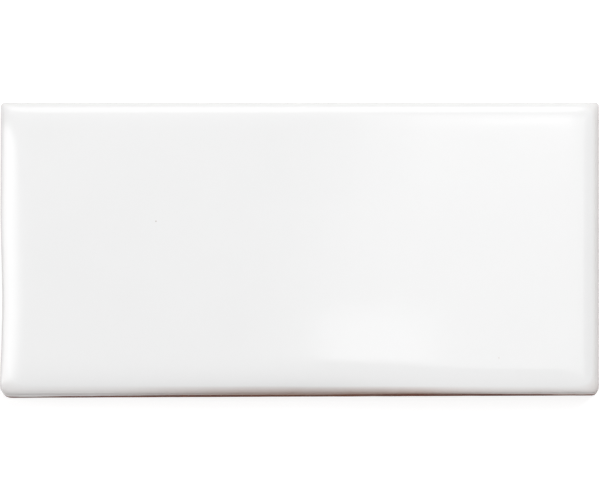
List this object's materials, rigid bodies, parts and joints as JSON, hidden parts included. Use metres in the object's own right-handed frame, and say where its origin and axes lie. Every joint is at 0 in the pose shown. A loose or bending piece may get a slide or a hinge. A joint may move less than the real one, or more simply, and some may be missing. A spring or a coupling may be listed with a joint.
{
  "type": "wall tile",
  "caption": "Oblong white glazed wall tile of fired red-brown clay, with pillowed edges and a keyed back",
  "frame": {"origin": "Middle of the back, in the plane that the ribs and rim bed on", "axes": "+X along the length, +Y to the head edge, +Z out of the glazed face"},
  "size_m": [0.1492, 0.0735, 0.0095],
  "materials": {
    "white_glaze": "White gloss glaze on fired red-brown clay"
  },
  "bodies": {
    "root": {"wall_tile": "white_glaze"}
  },
  "joints": []
}
